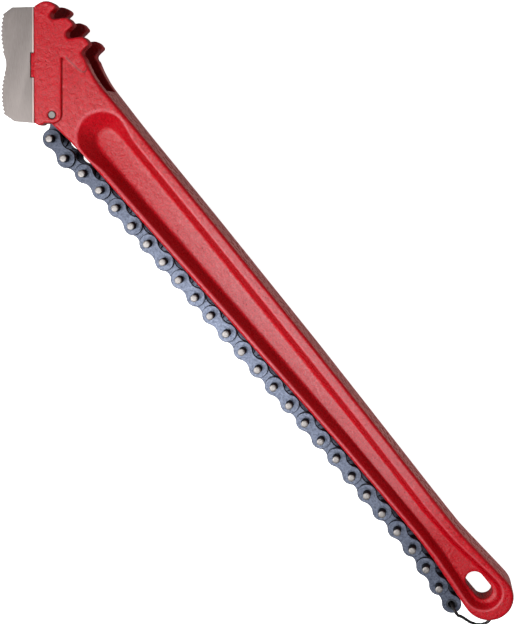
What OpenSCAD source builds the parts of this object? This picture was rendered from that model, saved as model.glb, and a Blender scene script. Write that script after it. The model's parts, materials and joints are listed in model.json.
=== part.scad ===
// Chain wrench: a cast handle with a hooked two-cheek head, a serrated jaw and a hinged link chain.
// Lengths are in millimetres. X runs along the handle to its tail, Y towards the hooks,
// Z up from the lower cheek's face. The origin is the middle of the jaw seat on that face.

/* [Head] */
// Thickness of the head over both cheeks
head_t = 45; // [43:0.5:52]
// Width of the slot between the cheeks
slot_w = 24; // [23.6:0.1:26]
// Angle between the handle's line and the jaw's line
jaw_angle = 42.2; // [41:0.1:43.5]
// Half length of the jaw seat
seat_half = 44.4; // [43.6:0.1:46]
// Height of the hooks' pin seats above the origin
hook_y = 37.8; // [37:0.1:39]
// Radius of each hook's tip
tip_r = 2.1; // [1.6:0.1:2.6]
// Radius of each hook's round back
crest_r = 6.4; // [6.1:0.1:6.6]
// Height of the head's raised pad over the neck
pad_step = 0.7; // [0.4:0.1:1.5]
// Width of the lug that keys the jaw
lug_w = 19; // [14:0.5:24]
// Depth of the lug that keys the jaw
lug_depth = 2.9; // [2:0.1:4]

/* [Handle] */
// Distance from the origin to the tail's end
handle_len = 574.8; // [565:0.5:600]
// Handle's thickness where the neck ends
rim_t_neck = 33; // [30:0.5:36]
// Handle's thickness at the tail
rim_t_tail = 26.6; // [24:0.2:30]
// Thickness of the web between the two recesses
web_t = 13; // [9:0.5:16]
// Radius of the round tail
tail_r = 20.3; // [19.5:0.1:22]
// Rounding of the handle's long edges
edge_r = 2.5; // [1.5:0.1:3.5]
// Slope of the recess walls, as run over depth
wall_slope = 0.7; // [0.5:0.05:0.75]
// Length of the hang hole
hang_len = 25; // [20:0.5:27]
// Width of the hang hole
hang_w = 14.5; // [12:0.5:16]

/* [Jaw] */
// Distance from the jaw seat to the jaw's crests
jaw_depth = 26.9; // [24:0.1:30]
// Radius of the two curved biting faces
bite_r = 58.5; // [50:0.5:70]
// Distance from one jaw tooth to the next
tooth_pitch = 3.2; // [2.4:0.1:4.5]
// Depth of the jaw's teeth
tooth_depth = 1.4; // [0.6:0.1:1.6]
// Radius of the dip between the biting faces
dip_r = 16.2; // [14:0.1:18]

/* [Chain] */
// Distance from one chain pin to the next
pitch = 19.05; // [18.8:0.01:19.3]
// Height of a chain plate over its round ends
plate_h = 15.6; // [14.8:0.1:16]
// Height of a chain plate at its waist
plate_waist = 9.6; // [8.5:0.1:11]
// Thickness of a chain plate
plate_t = 2.4; // [2.1:0.1:2.5]
// Gap between an inner link's plates
inner_gap = 12.6; // [12:0.1:12.8]
// Diameter of the chain pins
pin_d = 5.94; // [5.5:0.01:6.2]
// How far a pin stands out past the outer plate
pin_over = 7; // [5:0.5:8]
// Outer diameter of the bushes
bush_d = 8.4; // [7.8:0.1:9]
// Gap between the chain and the handle's edge
chain_gap = 0.8; // [0.6:0.1:2]
// Diameter of the tie cord
tie_d = 2.4; // [1.8:0.1:2.6]

/* [Hidden] */
$fn = 48;
cut = 1;

// Clearances: running fit of pins, press fit of pins, sliding faces, tongue in slot
run_fit = 0.06;
press_fit = 0.02;
side_fit = 0.15;
tongue_fit = 0.1;

mid_z = head_t / 2;
inner_links = 14;
outer_links = 13;

// Points drawn in the jaw's own frame are turned into the handle's frame
function turned(p) = [
    p[0] * cos(jaw_angle) + p[1] * sin(jaw_angle),
    p[1] * cos(jaw_angle) - p[0] * sin(jaw_angle)
];

// Head
anchor_in = 14.8;
anchor_up = 6.6;
anchor_at = turned([seat_half - anchor_up, anchor_in]);
pad_side = 22.9;
pad_corner_r = 7.5;
groove_w = 1.3;
groove_depth = 0.6;
hook_x = -17.4;
seat_r = pin_d / 2 + 0.1;
flank = 59;
crest_at = [-7.2, 0.9];
first_crest = [-4.2, -4.9];
first_grow = 4.2;
corner_at = turned([-seat_half, 0]) + [0.3, 2.6];
dowel_d = 8;
dowel_at = [2, 11];

// Handle's plan: the front edge faces the chain and the back edge carries on from the hooks
flat_x = 40;
slope_x = 86;
tail_x = handle_len - tail_r;
tail_y = 5;
front_edge = [
    [flat_x, -20.2], [46, -19.7], [60, -18.3], [slope_x, -17.5],
    [390, -9], [484, -8.7], [502, -9.8], [534, -13.2]
];
back_edge = [
    [500, 21.4], [468, 22], [372, 24.8], [308, 26.5], [182, 28.5],
    [slope_x, 29.3], [46, 29.9], [flat_x, 30.5]
];
bar_end = [for (y = [20, 10, 0, -10]) [flat_x, y]];
tail_angles = [-92 : 12 : 88];
function on_arc(c, a) = [c[0] + c[2] * cos(a), c[1] + c[2] * sin(a)];
bar_outline = concat(front_edge, [for (a = tail_angles) on_arc([tail_x, tail_y, tail_r], a)], back_edge, bar_end);

// Recess floor's outline, point for point inside the bar's outline
arch = [80.5, 4, 10.3];
bowl = [tail_x - 5.5, 4.5, tail_r - 10.3];
floor_line = concat(
    [for (a = [214, 232, 251]) on_arc(arch, a)],
    [[slope_x, -6.4], [390, 0.1], [480, 0], [503, -0.9], [530, -3.6]],
    [for (a = tail_angles) on_arc(bowl, a)],
    [[502, 8.8], [468, 7.8], [372, 10.8], [308, 12], [182, 13.5], [slope_x, 14]],
    [for (a = [115, 130, 145, 162, 180, 197]) on_arc(arch, a)]
);
arch_ease = 0.4;
hang_x = tail_x - 10;
cast_ends = [-60, 92, 400, 490, handle_len + 10];
seam = 0.02;
hang_y = 4.1;

// Chain at rest: its holes lie on a line beside the handle's front edge, lower where it hangs slack near the anchor
lobe_r = plate_h / 2;
slack = [[0, 0], [10.9, 2], [29.9, 4.8], [48.7, 1.9], [67.6, 0.25], [90, 0]];
chain_edge = concat(front_edge, [on_arc([tail_x, tail_y, tail_r], tail_angles[0])]);
function chain_line(x) = lookup(x, chain_edge) - lookup(x - anchor_at[0], slack) - lobe_r - chain_gap;
function step(p, h) = p + pitch * [cos(h), sin(h)];
function settled(p, h, tries) =
    tries == 0 ? h : settled(p, asin((chain_line(p[0] + pitch * cos(h)) - p[1]) / pitch), tries - 1);
function next_hole(p) = step(p, settled(p, 0, 8));
function holes(i, last, p) = i > last ? [] : concat([p], holes(i + 1, last, next_hole(p)));
hole = holes(0, 2 * inner_links - 1, anchor_at);
function heading(i) = atan2(hole[i + 1][1] - hole[i][1], hole[i + 1][0] - hole[i][0]);
inner_z = inner_gap / 2;
outer_z = inner_z + plate_t + side_fit;
pin_half = outer_z + plate_t + pin_over;
waist_r = (pow(pitch / 2, 2) + pow(plate_waist / 2, 2) - pow(lobe_r, 2)) / (plate_h - plate_waist);
waist_y = plate_waist / 2 + waist_r;

// Tie cord: points from the last hole's centre, heights from the chain's middle plane
tie_route = [
    [0, 0, 1.5], [0, 0, 5], [0, 0, 8.5], [0.6, 0, 11.5], [2.4, 0, 13.8], [5, -0.2, 14.7],
    [7.8, -0.5, 13.7], [10, -0.9, 11.2], [12, -1.5, 7.5], [15, -2.2, 2.5], [19, -2.9, -3], [24, -3.2, -8],
    [29.5, -2.7, -11.8], [34.5, -0.5, -14], [38, 3.8, -15], [38.6, 9.5, -15.1], [36, 14.6, -15.1],
    [31, 18.2, -15.1], [25, 19.6, -15.1], [19, 18.8, -15.1], [13.4, 16.2, -15.1], [8.4, 12.2, -15.1],
    [4.6, 8, -15], [2.1, 4.4, -14.1], [0.6, 1.5, -11.8], [0, 0, -8.5], [0, 0, -5], [0, 0, -1.5]
];
tie_sides = 8;

red = [0.72, 0.07, 0.1];
steel = [0.62, 0.6, 0.57];
slate = [0.42, 0.45, 0.5];
bright = [0.78, 0.77, 0.74];

function two(i) = str(i < 10 ? "0" : "", i);
inner_names = [for (i = [1 : inner_links]) str("inner_link_", two(i))];
bush_names = [for (i = [1 : inner_links]) str("bushes_", two(i))];
outer_names = [for (i = [1 : outer_links]) str("outer_link_", two(i))];
pin_names = [for (i = [1 : outer_links]) str("pins_", two(i))];

// Everything drawn in the jaw's frame goes through this turn
module jaw_frame() {
    rotate([0, 0, -jaw_angle]) children();
}

// A slab about the middle plane, between two heights of it
module slab(low, high) {
    translate([0, 0, mid_z + low]) linear_extrude(high - low) children();
}

// Half thickness along the handle: sloped down the neck, then a long taper
neck_half = mid_z - pad_step;
neck_fall = (neck_half - rim_t_neck / 2) / (slope_x - flat_x);
tail_fall = (rim_t_neck - rim_t_tail) / 2 / (handle_len - slope_x);
function fall(x) = x < slope_x ? neck_fall : tail_fall;
function half_t(x) = rim_t_neck / 2 + fall(x) * (slope_x - x);

// Direction out of a closed line at one of its points: straight across where the thickness changes slope
function unit(v) = v / norm(v);
function turn_at(line, i) =
    let (n = len(line), v = line[(i + 1) % n] - line[(i + n - 1) % n]) unit([v[1], -v[0]]);
function outward(line, i) =
    abs(line[i][0] - slope_x) < 0.01 ? [0, line[i][1] > 4 ? 1 : -1] : turn_at(line, i);

// Rings of the bar, from the lower web round both edges to the upper web
bar_n = len(bar_outline);
web_half = web_t / 2;
function bar_side(i) =
    i == 0 ? [0, -1] : i == bar_n - len(bar_end) - 1 ? [0, 1] : i >= bar_n - len(bar_end) ? [0, 0] : outward(bar_outline, i);
function edge_point(i, a, s) =
    let (p = bar_outline[i] + bar_side(i) * edge_r * (sin(a) - 1))
    [p[0], p[1], mid_z + s * (half_t(p[0]) - edge_r * (1 - cos(a)))];
function lean(i) =
    let (w = outward(floor_line, i), x = floor_line[i][0])
    w * (wall_slope + (x < slope_x ? arch_ease * max(0, -w[0]) : 0));
function lip_rise(i) =
    let (x = floor_line[i][0])
    (half_t(x) - web_half) / (1 + fall(x) * lean(i)[0]);
function lip_point(i, s) =
    let (p = floor_line[i] + lean(i) * lip_rise(i)) [p[0], p[1], mid_z + s * (web_half + lip_rise(i))];
function floor_point(i, s) = [floor_line[i][0], floor_line[i][1], mid_z + s * web_half];
function span(from, to) = [for (i = [from : to]) i];
around = span(0, bar_n - 1);
bar_rings = concat(
    [[for (i = around) floor_point(i, -1)], [for (i = around) lip_point(i, -1)]],
    [for (a = [0 : 30 : 90]) [for (i = around) edge_point(i, a, -1)]],
    [for (a = [90 : -30 : 0]) [for (i = around) edge_point(i, a, 1)]],
    [[for (i = around) lip_point(i, 1)], [for (i = around) floor_point(i, 1)]]
);

// Web faces across the recess floor: round head end, three lengths and round tail end
function web_span(from, to) = [for (i = [from : to]) i % bar_n];
web_parts = [web_span(29, 39), [3, 4, 26, 27, 28, 29], [4, 5, 25, 26], [5, 6, 24, 25], web_span(6, 24)];

module bar() {
    top = (len(bar_rings) - 1) * bar_n;
    sides = [for (k = [0 : len(bar_rings) - 2]) for (i = around)
        let (a = k * bar_n + i, b = k * bar_n + (i + 1) % bar_n)
        for (f = [[a, a + bar_n, b], [b, a + bar_n, b + bar_n]]) f];
    web_low = web_parts;
    web_high = [for (part = web_parts) [for (i = [len(part) - 1 : -1 : 0]) top + part[i]]];
    polyhedron([for (r = bar_rings) for (p = r) p], concat(sides, web_low, web_high), convexity = 6);
}

// Flat top of the neck, between the raised pad and the slope
module neck() {
    half = neck_half - 0.12;
    slab(-half, half) polygon([
        [8, 16], [20, 32], [24.5, 34.3], [29, 32.7], [flat_x, 30.1], [flat_x + 4, 29.3], [flat_x + 4, -8], [36, -16]
    ]);
}

// Raised head pad without its hooks, in the jaw's frame
pad_line = concat(
    [[-seat_half, 0], [seat_half, 0], [seat_half + 2, 3.2], [seat_half + 2, 6], [seat_half, 8.8]],
    [for (a = [0 : 15 : 90]) on_arc([seat_half - pad_corner_r, pad_side - pad_corner_r, pad_corner_r], a)],
    [[-6.2, pad_side], [-5.2, 26], [4.7, 39]]
);

// One hook: the pin seat at its right, the small tip over it, then the round back down to the next seat
function bend(c, r, from, to, n) = [for (j = [0 : n]) on_arc([c[0], c[1], r], from + (to - from) * j / n)];
function hook_line(k) =
    let (seat = [hook_x + k * pitch, hook_y])
    let (back = seat + (k == 0 ? first_crest : crest_at), back_r = crest_r + (k == 0 ? first_grow : 0))
    let (tip = [seat[0] - seat_r - tip_r, back[1] + back_r - tip_r])
    concat(
        bend(seat, seat_r, k == 2 ? -78 : flank - 90, -180, 14),
        bend(tip, tip_r, 0, 80, 6),
        bend(back, back_r, k == 0 ? 94 : 78, k == 0 ? 165 : 90 + flank, 12)
    );

// Head with its three hooks, as one closed line
module head_plan() {
    polygon(concat(
        [for (p = pad_line) turned(p)],
        [[28, 32.6], [23.4, 34.6]],
        hook_line(2),
        hook_line(1),
        hook_line(0),
        [corner_at]
    ));
}

// Room between the cheeks for the hooked chain, the jaw's tongue and the first link
module slot_plan() {
    polygon([
        [-70, 70], [-70, -70], [56, -70], [56, -24], [52, -17], [47, -7], [39, 4], [37, 10], [39, 17],
        [45, 24], [50, 29], [52, 34], [52, 70]
    ]);
}

// Shallow groove beside the pad, starting at height z
module groove(z) {
    deep = groove_depth + pad_step + cut;
    translate([0, 0, z]) jaw_frame() {
        translate([-5.4, pad_side - groove_w / 2, 0]) cube([seat_half - pad_corner_r + 5.4, groove_w, deep]);
        translate([seat_half - pad_corner_r, pad_side - pad_corner_r, 0]) intersection() {
            difference() {
                cylinder(r = pad_corner_r + groove_w / 2, h = deep);
                translate([0, 0, -cut]) cylinder(r = pad_corner_r - groove_w / 2, h = deep + 2 * cut);
            }
            cube([20, 20, deep]);
        }
    }
}

module hang_hole() {
    run = (hang_len - hang_w) / 2;
    translate([hang_x, hang_y, 0]) {
        for (s = [-1, 1]) translate([s * run, 0, 0]) cylinder(d = hang_w, h = head_t);
        translate([-run, -hang_w / 2, 0]) cube([2 * run, hang_w, head_t]);
    }
}

module casting() {
    difference() {
        union() {
            bar();
            neck();
            slab(-mid_z, mid_z) head_plan();
            jaw_frame() translate([-lug_w / 2, -lug_depth, 0]) cube([lug_w, lug_depth + 4, head_t]);
        }
        slab(-slot_w / 2, slot_w / 2) slot_plan();
        groove(head_t - groove_depth - pad_step);
        groove(-cut);
        hang_hole();
        translate([anchor_at[0], anchor_at[1], -cut]) cylinder(d = pin_d + 2 * press_fit, h = head_t + 2 * cut);
        jaw_frame() translate([dowel_at[0], dowel_at[1], -cut]) cylinder(d = dowel_d + 2 * press_fit, h = head_t + 2 * cut);
    }
}

// The casting is kept in four lengths with hairline seams, so that each follows the hollow front edge
module handle() {
    color(red) for (i = [0 : len(cast_ends) - 2]) intersection() {
        casting();
        translate([cast_ends[i] + seam / 2, -60, -cut])
            cube([cast_ends[i + 1] - cast_ends[i] - seam, 130, head_t + 2 * cut]);
    }
}

// Jaw: toothed arcs and a dip between them, in the jaw's frame
bite_half = seat_half / 2 + 1.6;
tooth_room = seat_half - 10;
tooth_count = floor(tooth_room / tooth_pitch);
dip_depth = 4.3;
end_bevels = [9.6, 11];
tooth_turn = tooth_pitch / bite_r * 180 / PI;
function bite(s, a, r) = [s * bite_half + r * sin(a), bite_r - jaw_depth - r * cos(a)];
function toothed(s) = [for (i = [0 : tooth_count - 1])
    let (a = (i - tooth_count / 2) * tooth_turn)
    for (q = [[a, bite_r - tooth_depth], [a + tooth_turn * 0.5, bite_r]]) bite(s, q[0], q[1])];

module jaw_plan() {
    difference() {
        polygon(concat(
            [[seat_half, side_fit], [-seat_half + 0.4, side_fit], [-seat_half + 0.9, end_bevels[0] - jaw_depth]],
            toothed(-1),
            toothed(1),
            [[seat_half - 0.6, end_bevels[1] - jaw_depth]]
        ));
        translate([0, dip_depth - jaw_depth - dip_r]) circle(dip_r);
    }
}

// Thick tongue in the slot, and the thinner ear that the first link straddles
module tongue_plan() {
    polygon([[-22, 0], [-22, 12], [-12, 21], [22, 21], [24, 19], [24, 0]]);
}

module ear_plan() {
    ear_r = anchor_up - 0.2;
    at = [seat_half - anchor_up, anchor_in];
    translate(at) circle(ear_r);
    translate([20, at[1] - ear_r]) square([at[0] - 20, 2 * ear_r]);
}

module jaw() {
    face_gap = 0.3;
    half = mid_z - face_gap;
    tongue_half = slot_w / 2 - tongue_fit;
    ear_half = inner_z - side_fit;
    color(steel) jaw_frame() difference() {
        union() {
            slab(-half, half) translate([0, -side_fit]) jaw_plan();
            slab(-tongue_half, tongue_half) tongue_plan();
            slab(-ear_half, ear_half) ear_plan();
        }
        translate([-lug_w / 2 - tongue_fit, -lug_depth - tongue_fit, -cut])
            cube([lug_w + 2 * tongue_fit, lug_depth + tongue_fit, cut + mid_z - slot_w / 2]);
        translate([-lug_w / 2 - tongue_fit, -lug_depth - tongue_fit, mid_z + slot_w / 2])
            cube([lug_w + 2 * tongue_fit, lug_depth + tongue_fit, head_t]);
        translate([seat_half - anchor_up, anchor_in, 0]) cylinder(d = pin_d + 2 * press_fit, h = head_t);
        translate([dowel_at[0], dowel_at[1], 0]) cylinder(d = dowel_d + 2 * press_fit, h = head_t);
    }
}

// Round pin with small chamfers at both ends, standing on z = 0
module chamfered_pin(d, h, c) {
    cylinder(d1 = d - 2 * c, d2 = d, h = c);
    translate([0, 0, c]) cylinder(d = d, h = h - 2 * c);
    translate([0, 0, h - c]) cylinder(d1 = d, d2 = d - 2 * c, h = c);
}

module anchor_pin() {
    inset = 0.2;
    color(bright) translate([anchor_at[0], anchor_at[1], inset]) chamfered_pin(pin_d, head_t - 2 * inset, 0.5);
}

module jaw_dowel() {
    inset = 0.4;
    color(red) jaw_frame() translate([dowel_at[0], dowel_at[1], inset])
        chamfered_pin(dowel_d, head_t - 2 * inset, 0.5);
}

// Two-lobed plate from one hole to the next, with arcs between the lobes
module plate_plan() {
    touch = waist_y * lobe_r / (lobe_r + waist_r);
    for (x = [0, pitch]) translate([x, 0]) circle(lobe_r);
    difference() {
        translate([0, -touch]) square([pitch, 2 * touch]);
        for (s = [-1, 1]) translate([pitch / 2, s * waist_y]) circle(waist_r);
    }
}

// Places a link's parts at hole i, turned along the chain, about the chain's middle plane
module at_link(i) {
    translate([hole[i][0], hole[i][1], mid_z]) rotate([0, 0, heading(i)]) children();
}

module plate_pair(low, d_first, d_second) {
    for (s = [0, 1]) mirror([0, 0, s]) translate([0, 0, low]) linear_extrude(plate_t) difference() {
        plate_plan();
        circle(d = d_first);
        translate([pitch, 0]) circle(d = d_second);
    }
}

module inner_link(k) {
    bush_bore = bush_d + 2 * press_fit;
    color(slate) at_link(2 * k) plate_pair(inner_z, k == 0 ? pin_d + 2 * run_fit : bush_bore, bush_bore);
}

module bushes(k) {
    long = inner_z + plate_t;
    color(slate) at_link(2 * k) for (x = k == 0 ? [pitch] : [0, pitch]) translate([x, 0, -long]) difference() {
        cylinder(d = bush_d, h = 2 * long);
        translate([0, 0, -cut]) cylinder(d = pin_d + 2 * run_fit, h = 2 * long + 2 * cut);
    }
}

module outer_link(k) {
    color(slate) at_link(2 * k + 1) plate_pair(outer_z, pin_d + 2 * press_fit, pin_d + 2 * press_fit);
}

module pins(k) {
    color(bright) at_link(2 * k + 1) for (x = [0, pitch]) translate([x, 0, -pin_half])
        chamfered_pin(pin_d, 2 * pin_half, 0.4);
}

// Tie cord: a tube through the route's points
tie_n = len(tie_route);
function tie_way(i) = unit(tie_route[min(i + 1, tie_n - 1)] - tie_route[max(i - 1, 0)]);
function moved(s, t) = unit(s - t * (s * t));
function tie_side(i) = i == 0 ? [0, 1, 0] : moved(tie_side(i - 1), tie_way(i));

module chain_tie() {
    last = hole[2 * inner_links - 1];
    rim = [for (j = [0 : tie_sides - 1]) j * 360 / tie_sides];
    points = [for (i = [0 : tie_n - 1]) let (s = tie_side(i), u = cross(tie_way(i), s))
        for (a = rim) tie_route[i] + tie_d / 2 * (s * cos(a) + u * sin(a))];
    walls = [for (i = [0 : tie_n - 2]) for (j = [0 : tie_sides - 1])
        let (a = i * tie_sides + j, b = i * tie_sides + (j + 1) % tie_sides)
        for (f = [[a, a + tie_sides, b], [b, a + tie_sides, b + tie_sides]]) f];
    start = [[for (j = [0 : tie_sides - 1]) j]];
    finish = [[for (j = [tie_sides - 1 : -1 : 0]) (tie_n - 1) * tie_sides + j]];
    color([0.08, 0.08, 0.08]) translate([last[0], last[1], mid_z])
        polyhedron(points, concat(walls, start, finish), convexity = 6);
}

handle();
jaw();
anchor_pin();
jaw_dowel();
chain_tie();
for (k = [0 : inner_links - 1]) inner_link(k);
for (k = [0 : inner_links - 1]) bushes(k);
for (k = [0 : outer_links - 1]) outer_link(k);
for (k = [0 : outer_links - 1]) pins(k);
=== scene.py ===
import json

import bpy
import numpy as np
from mathutils import Matrix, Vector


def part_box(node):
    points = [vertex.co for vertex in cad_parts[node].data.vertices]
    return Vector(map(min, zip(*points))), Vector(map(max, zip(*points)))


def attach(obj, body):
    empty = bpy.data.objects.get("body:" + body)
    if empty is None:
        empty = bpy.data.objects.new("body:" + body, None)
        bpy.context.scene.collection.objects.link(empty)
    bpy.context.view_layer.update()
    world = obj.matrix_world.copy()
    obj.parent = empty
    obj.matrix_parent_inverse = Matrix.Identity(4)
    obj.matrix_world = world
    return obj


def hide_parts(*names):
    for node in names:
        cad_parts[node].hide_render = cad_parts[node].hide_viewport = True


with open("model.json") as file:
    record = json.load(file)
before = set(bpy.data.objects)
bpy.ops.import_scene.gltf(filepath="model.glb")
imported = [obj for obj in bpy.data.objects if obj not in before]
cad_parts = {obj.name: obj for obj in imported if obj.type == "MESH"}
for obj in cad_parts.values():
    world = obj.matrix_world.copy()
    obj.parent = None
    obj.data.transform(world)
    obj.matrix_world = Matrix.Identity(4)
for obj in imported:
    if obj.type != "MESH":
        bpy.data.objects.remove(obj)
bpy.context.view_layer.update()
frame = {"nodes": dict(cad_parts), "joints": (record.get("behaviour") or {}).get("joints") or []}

mm = 0.001
midZ = 22.5  # middle plane of the wrench; heights below count from it
jawTurn = np.radians(42.2)  # the jaw's own frame is turned back by this

# where the chain's pins stand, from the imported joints; the last hole comes from its bush
chain = {"pitch": 19.05, "bushR": 4.2}
holes = np.array([joint["pos_m"][:2] for joint in frame["joints"]]) / mm
lastLow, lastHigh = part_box("bushes_14")
holes = np.vstack([holes, [lastHigh.x / mm - chain["bushR"], lastLow.y / mm + chain["bushR"]]])
steps = np.diff(holes, axis=0)
headings = np.arctan2(steps[:, 1], steps[:, 0])


# camera: right, down and forward of the view as rows, place in millimetres
view = {
    "right": (0.639309, 0.753613, -0.152814),
    "down": (0.768693, -0.621214, 0.152325),
    "forward": (0.019864, -0.214850, -0.976445),
    "place": (245.17, 180.43, 810.30),
    "lens": 57.69,
}
camera = bpy.data.objects.new("camera", bpy.data.cameras.new("camera"))
camera.data.sensor_fit = "VERTICAL"
camera.data.sensor_height = 36
camera.data.lens = view["lens"]
camera.data.clip_start = 0.01
turn = np.array([view["right"], np.negative(view["down"]), np.negative(view["forward"])]).T
camera.matrix_world = Matrix.Translation(np.array(view["place"]) * mm) @ Matrix(turn.tolist()).to_4x4()
bpy.context.scene.collection.objects.link(camera)
bpy.context.scene.camera = camera
print("camera set")


# finishes: each has its own nodes, and patterns lie in Object coordinates
def linear(*rgb):
    # screen colour 0..255 to the shader's linear colour
    c = np.array(rgb) / 255
    return (*np.where(c < 0.04045, c / 12.92, ((c + 0.055) / 1.055) ** 2.4), 1)


class Finish:
    def __init__(self, name):
        self.material = bpy.data.materials.new(name)
        self.material.use_nodes = True
        self.nodes = self.material.node_tree.nodes
        self.shader = self.nodes["Principled BSDF"]
        self.coords = self.nodes.new("ShaderNodeTexCoord").outputs["Object"]

    def join(self, out, into):
        self.material.node_tree.links.new(out, into)
        return out

    def placed(self, size, turned):
        # patterns of this size in metres, turned about Z
        node = self.nodes.new("ShaderNodeMapping")
        node.vector_type = "TEXTURE"
        node.inputs["Scale"].default_value = size
        node.inputs["Rotation"].default_value = (0, 0, turned)
        self.join(self.coords, node.inputs["Vector"])
        return node.outputs["Vector"]

    def noise(self, scale, detail=2, rough=0.5, at=None):
        node = self.nodes.new("ShaderNodeTexNoise")
        node.inputs["Scale"].default_value = scale
        node.inputs["Detail"].default_value = detail
        node.inputs["Roughness"].default_value = rough
        self.join(at or self.coords, node.inputs["Vector"])
        return node.outputs["Fac"]

    def cells(self, scale):
        node = self.nodes.new("ShaderNodeTexVoronoi")
        node.inputs["Scale"].default_value = scale
        self.join(self.coords, node.inputs["Vector"])
        return node.outputs["Distance"]

    def ramp(self, source, *stops):
        node = self.nodes.new("ShaderNodeValToRGB")
        slots = node.color_ramp.elements
        while len(slots) < len(stops):
            slots.new(0.5)
        for slot, (place, colour) in zip(slots, stops):
            slot.position = place
            slot.color = colour if np.ndim(colour) else (colour, colour, colour, 1)
        self.join(source, node.inputs["Fac"])
        return node.outputs["Color"]

    def mix(self, kind, amount, a, b):
        node = self.nodes.new("ShaderNodeMix")
        node.data_type = "RGBA"
        node.blend_type = kind
        ins = [s for s in node.inputs if s.enabled]
        for value, socket in zip((amount, a, b), ins):
            if isinstance(value, bpy.types.NodeSocket):
                self.join(value, socket)
            else:
                socket.default_value = value
        return [s for s in node.outputs if s.enabled][0]

    def math(self, kind, a, b):
        node = self.nodes.new("ShaderNodeMath")
        node.operation = kind
        for value, socket in zip((a, b), node.inputs):
            if isinstance(value, bpy.types.NodeSocket):
                self.join(value, socket)
            else:
                socket.default_value = value
        return node.outputs[0]

    def mark(self, name):
        node = self.nodes.new("ShaderNodeAttribute")
        node.attribute_name = name
        return node.outputs["Fac"]

    def facing(self, name):
        node = self.nodes.new("ShaderNodeSeparateXYZ")
        self.join(self.nodes.new("ShaderNodeNewGeometry").outputs["Normal"], node.inputs[0])
        return node.outputs[name]

    def axis(self, name, at=None):
        node = self.nodes.new("ShaderNodeSeparateXYZ")
        self.join(at or self.coords, node.inputs[0])
        return node.outputs[name]

    def tint(self, under, share, amount, colour):
        return self.mix("MIX", self.math("MULTIPLY", share, amount), under, colour)

    def bump(self, height, strength, distance):
        node = self.nodes.new("ShaderNodeBump")
        node.inputs["Strength"].default_value = strength
        node.inputs["Distance"].default_value = distance
        self.join(height, node.inputs["Height"])
        self.join(node.outputs["Normal"], self.shader.inputs["Normal"])

    def wear(self, **sockets):
        # sockets by name, with _ for a space: base_color=out, metallic=1
        for word, value in sockets.items():
            socket = self.shader.inputs[word.replace("_", " ").title().replace("Ior", "IOR")]
            if isinstance(value, bpy.types.NodeSocket):
                self.join(value, socket)
            else:
                socket.default_value = value
        return self.material


# beside the skin, pits and gloss, these tones are painted light: a pale painted sheen, a deep red for painted
# shade,
# pale painted highlights for lips and edges, dark reds for painted shade in grooves and slot, a grey-brown
# painted reflection for steep sides
paint = {
    "skin": ((164, 0, 15), (228, 12, 36)), "sideReflection": ((144, 100, 94), (182, 136, 128)), "sideReflectionShare": 0.6,
    "slot": ((84, 0, 0), (118, 0, 2)), "slotShadeShare": 0.86, "paintedSheen": (231, 206, 212), "paintedSheenShare": 0.15,
    "deep": (137, 0, 2), "paintedShadeShare": 0.85, "lipHighlight": (240, 128, 138), "lipHighlightShare": 0.26,
    "edge": (232, 100, 110), "edgeHighlightShare": 0.2, "groove": (128, 0, 2), "pitShare": 0.5,
    "relief": 0.0007, "specular": 0.42, "gloss": (0.22, 0.34),
}


def redEnamel():
    # sandy cast skin under gloss paint with pits; over it painted light: a painted sheen on the flats,
    # painted shade on walls, turned edges and hook sides, painted highlights on lips and edges, painted shade
    # in the grooves and the slot, a pale painted reflection on the outer sides; where each lies is marked on
    # the handle's points
    f = Finish("redEnamel")
    grain = f.noise(760, 4, 0.7)
    peel = f.noise(260, 3)
    low, high = (linear(*tone) for tone in paint["skin"])
    colour = f.ramp(grain, (0.32, low), (0.68, high))
    colour = f.mix("MULTIPLY", 0.3, colour, f.ramp(f.noise(30, 3), (0.3, 0.72), (0.7, 1.0)))
    pits = f.ramp(f.cells(230), (0.05, 0.0), (0.16, 1.0))
    pits = f.mix("LIGHTEN", 1.0, pits, f.ramp(f.noise(75, 1), (0.46, 1.0), (0.54, 0.0)))
    colour = f.mix("MULTIPLY", paint["pitShare"], colour, pits)
    # painted sheen: a pale pink reflection mixed into the upward flats of the bar
    colour = f.tint(colour, f.mark("paintedSheenLevel"), paint["paintedSheenShare"], linear(*paint["paintedSheen"]))
    # painted shade: deep red on the recess walls, on rounded edges turned to the back, on the hook sides and
    # round the hang hole
    colour = f.tint(colour, f.mark("paintedShade"), paint["paintedShadeShare"], linear(*paint["deep"]))
    # painted highlight: a pale pink line along the recess lips
    lipHighlight = f.ramp(f.mark("lipGap"), (0.43, 0.0), (0.52, 1.0), (0.6, 1.0), (0.74, 0.0))
    colour = f.tint(colour, lipHighlight, paint["lipHighlightShare"], linear(*paint["lipHighlight"]))
    # painted highlight: a lighter pink on ridges and rims that bulge out
    colour = f.tint(colour, f.mark("edgeHighlight"), paint["edgeHighlightShare"], linear(*paint["edge"]))
    # painted shade: dark red along the two casting grooves
    groove = f.ramp(f.mark("grooveGap"), (0.08, 0.9), (0.15, 0.0))
    colour = f.mix("MIX", groove, colour, linear(*paint["groove"]))
    # painted reflection: a pale grey-brown on the steep outer sides
    low, high = (linear(*tone) for tone in paint["sideReflection"])
    colour = f.tint(colour, f.mark("sideReflectionLevel"), paint["sideReflectionShare"], f.ramp(peel, (0.3, low), (0.7, high)))
    # painted shade: near-black red inside the slot between the cheeks
    low, high = (linear(*tone) for tone in paint["slot"])
    colour = f.tint(colour, f.mark("slotShade"), paint["slotShadeShare"], f.ramp(grain, (0.3, low), (0.7, high)))
    height = f.math("ADD", f.math("MULTIPLY", grain, 0.8), f.math("MULTIPLY", peel, 1.1))
    f.bump(f.math("ADD", height, f.math("MULTIPLY", pits, 0.6)), 0.6, paint["relief"])
    shiny, dull = paint["gloss"]
    return f.wear(base_color=colour, specular_ior_level=paint["specular"],
                  roughness=f.ramp(peel, (0.3, shiny), (0.7, dull)))


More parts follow.
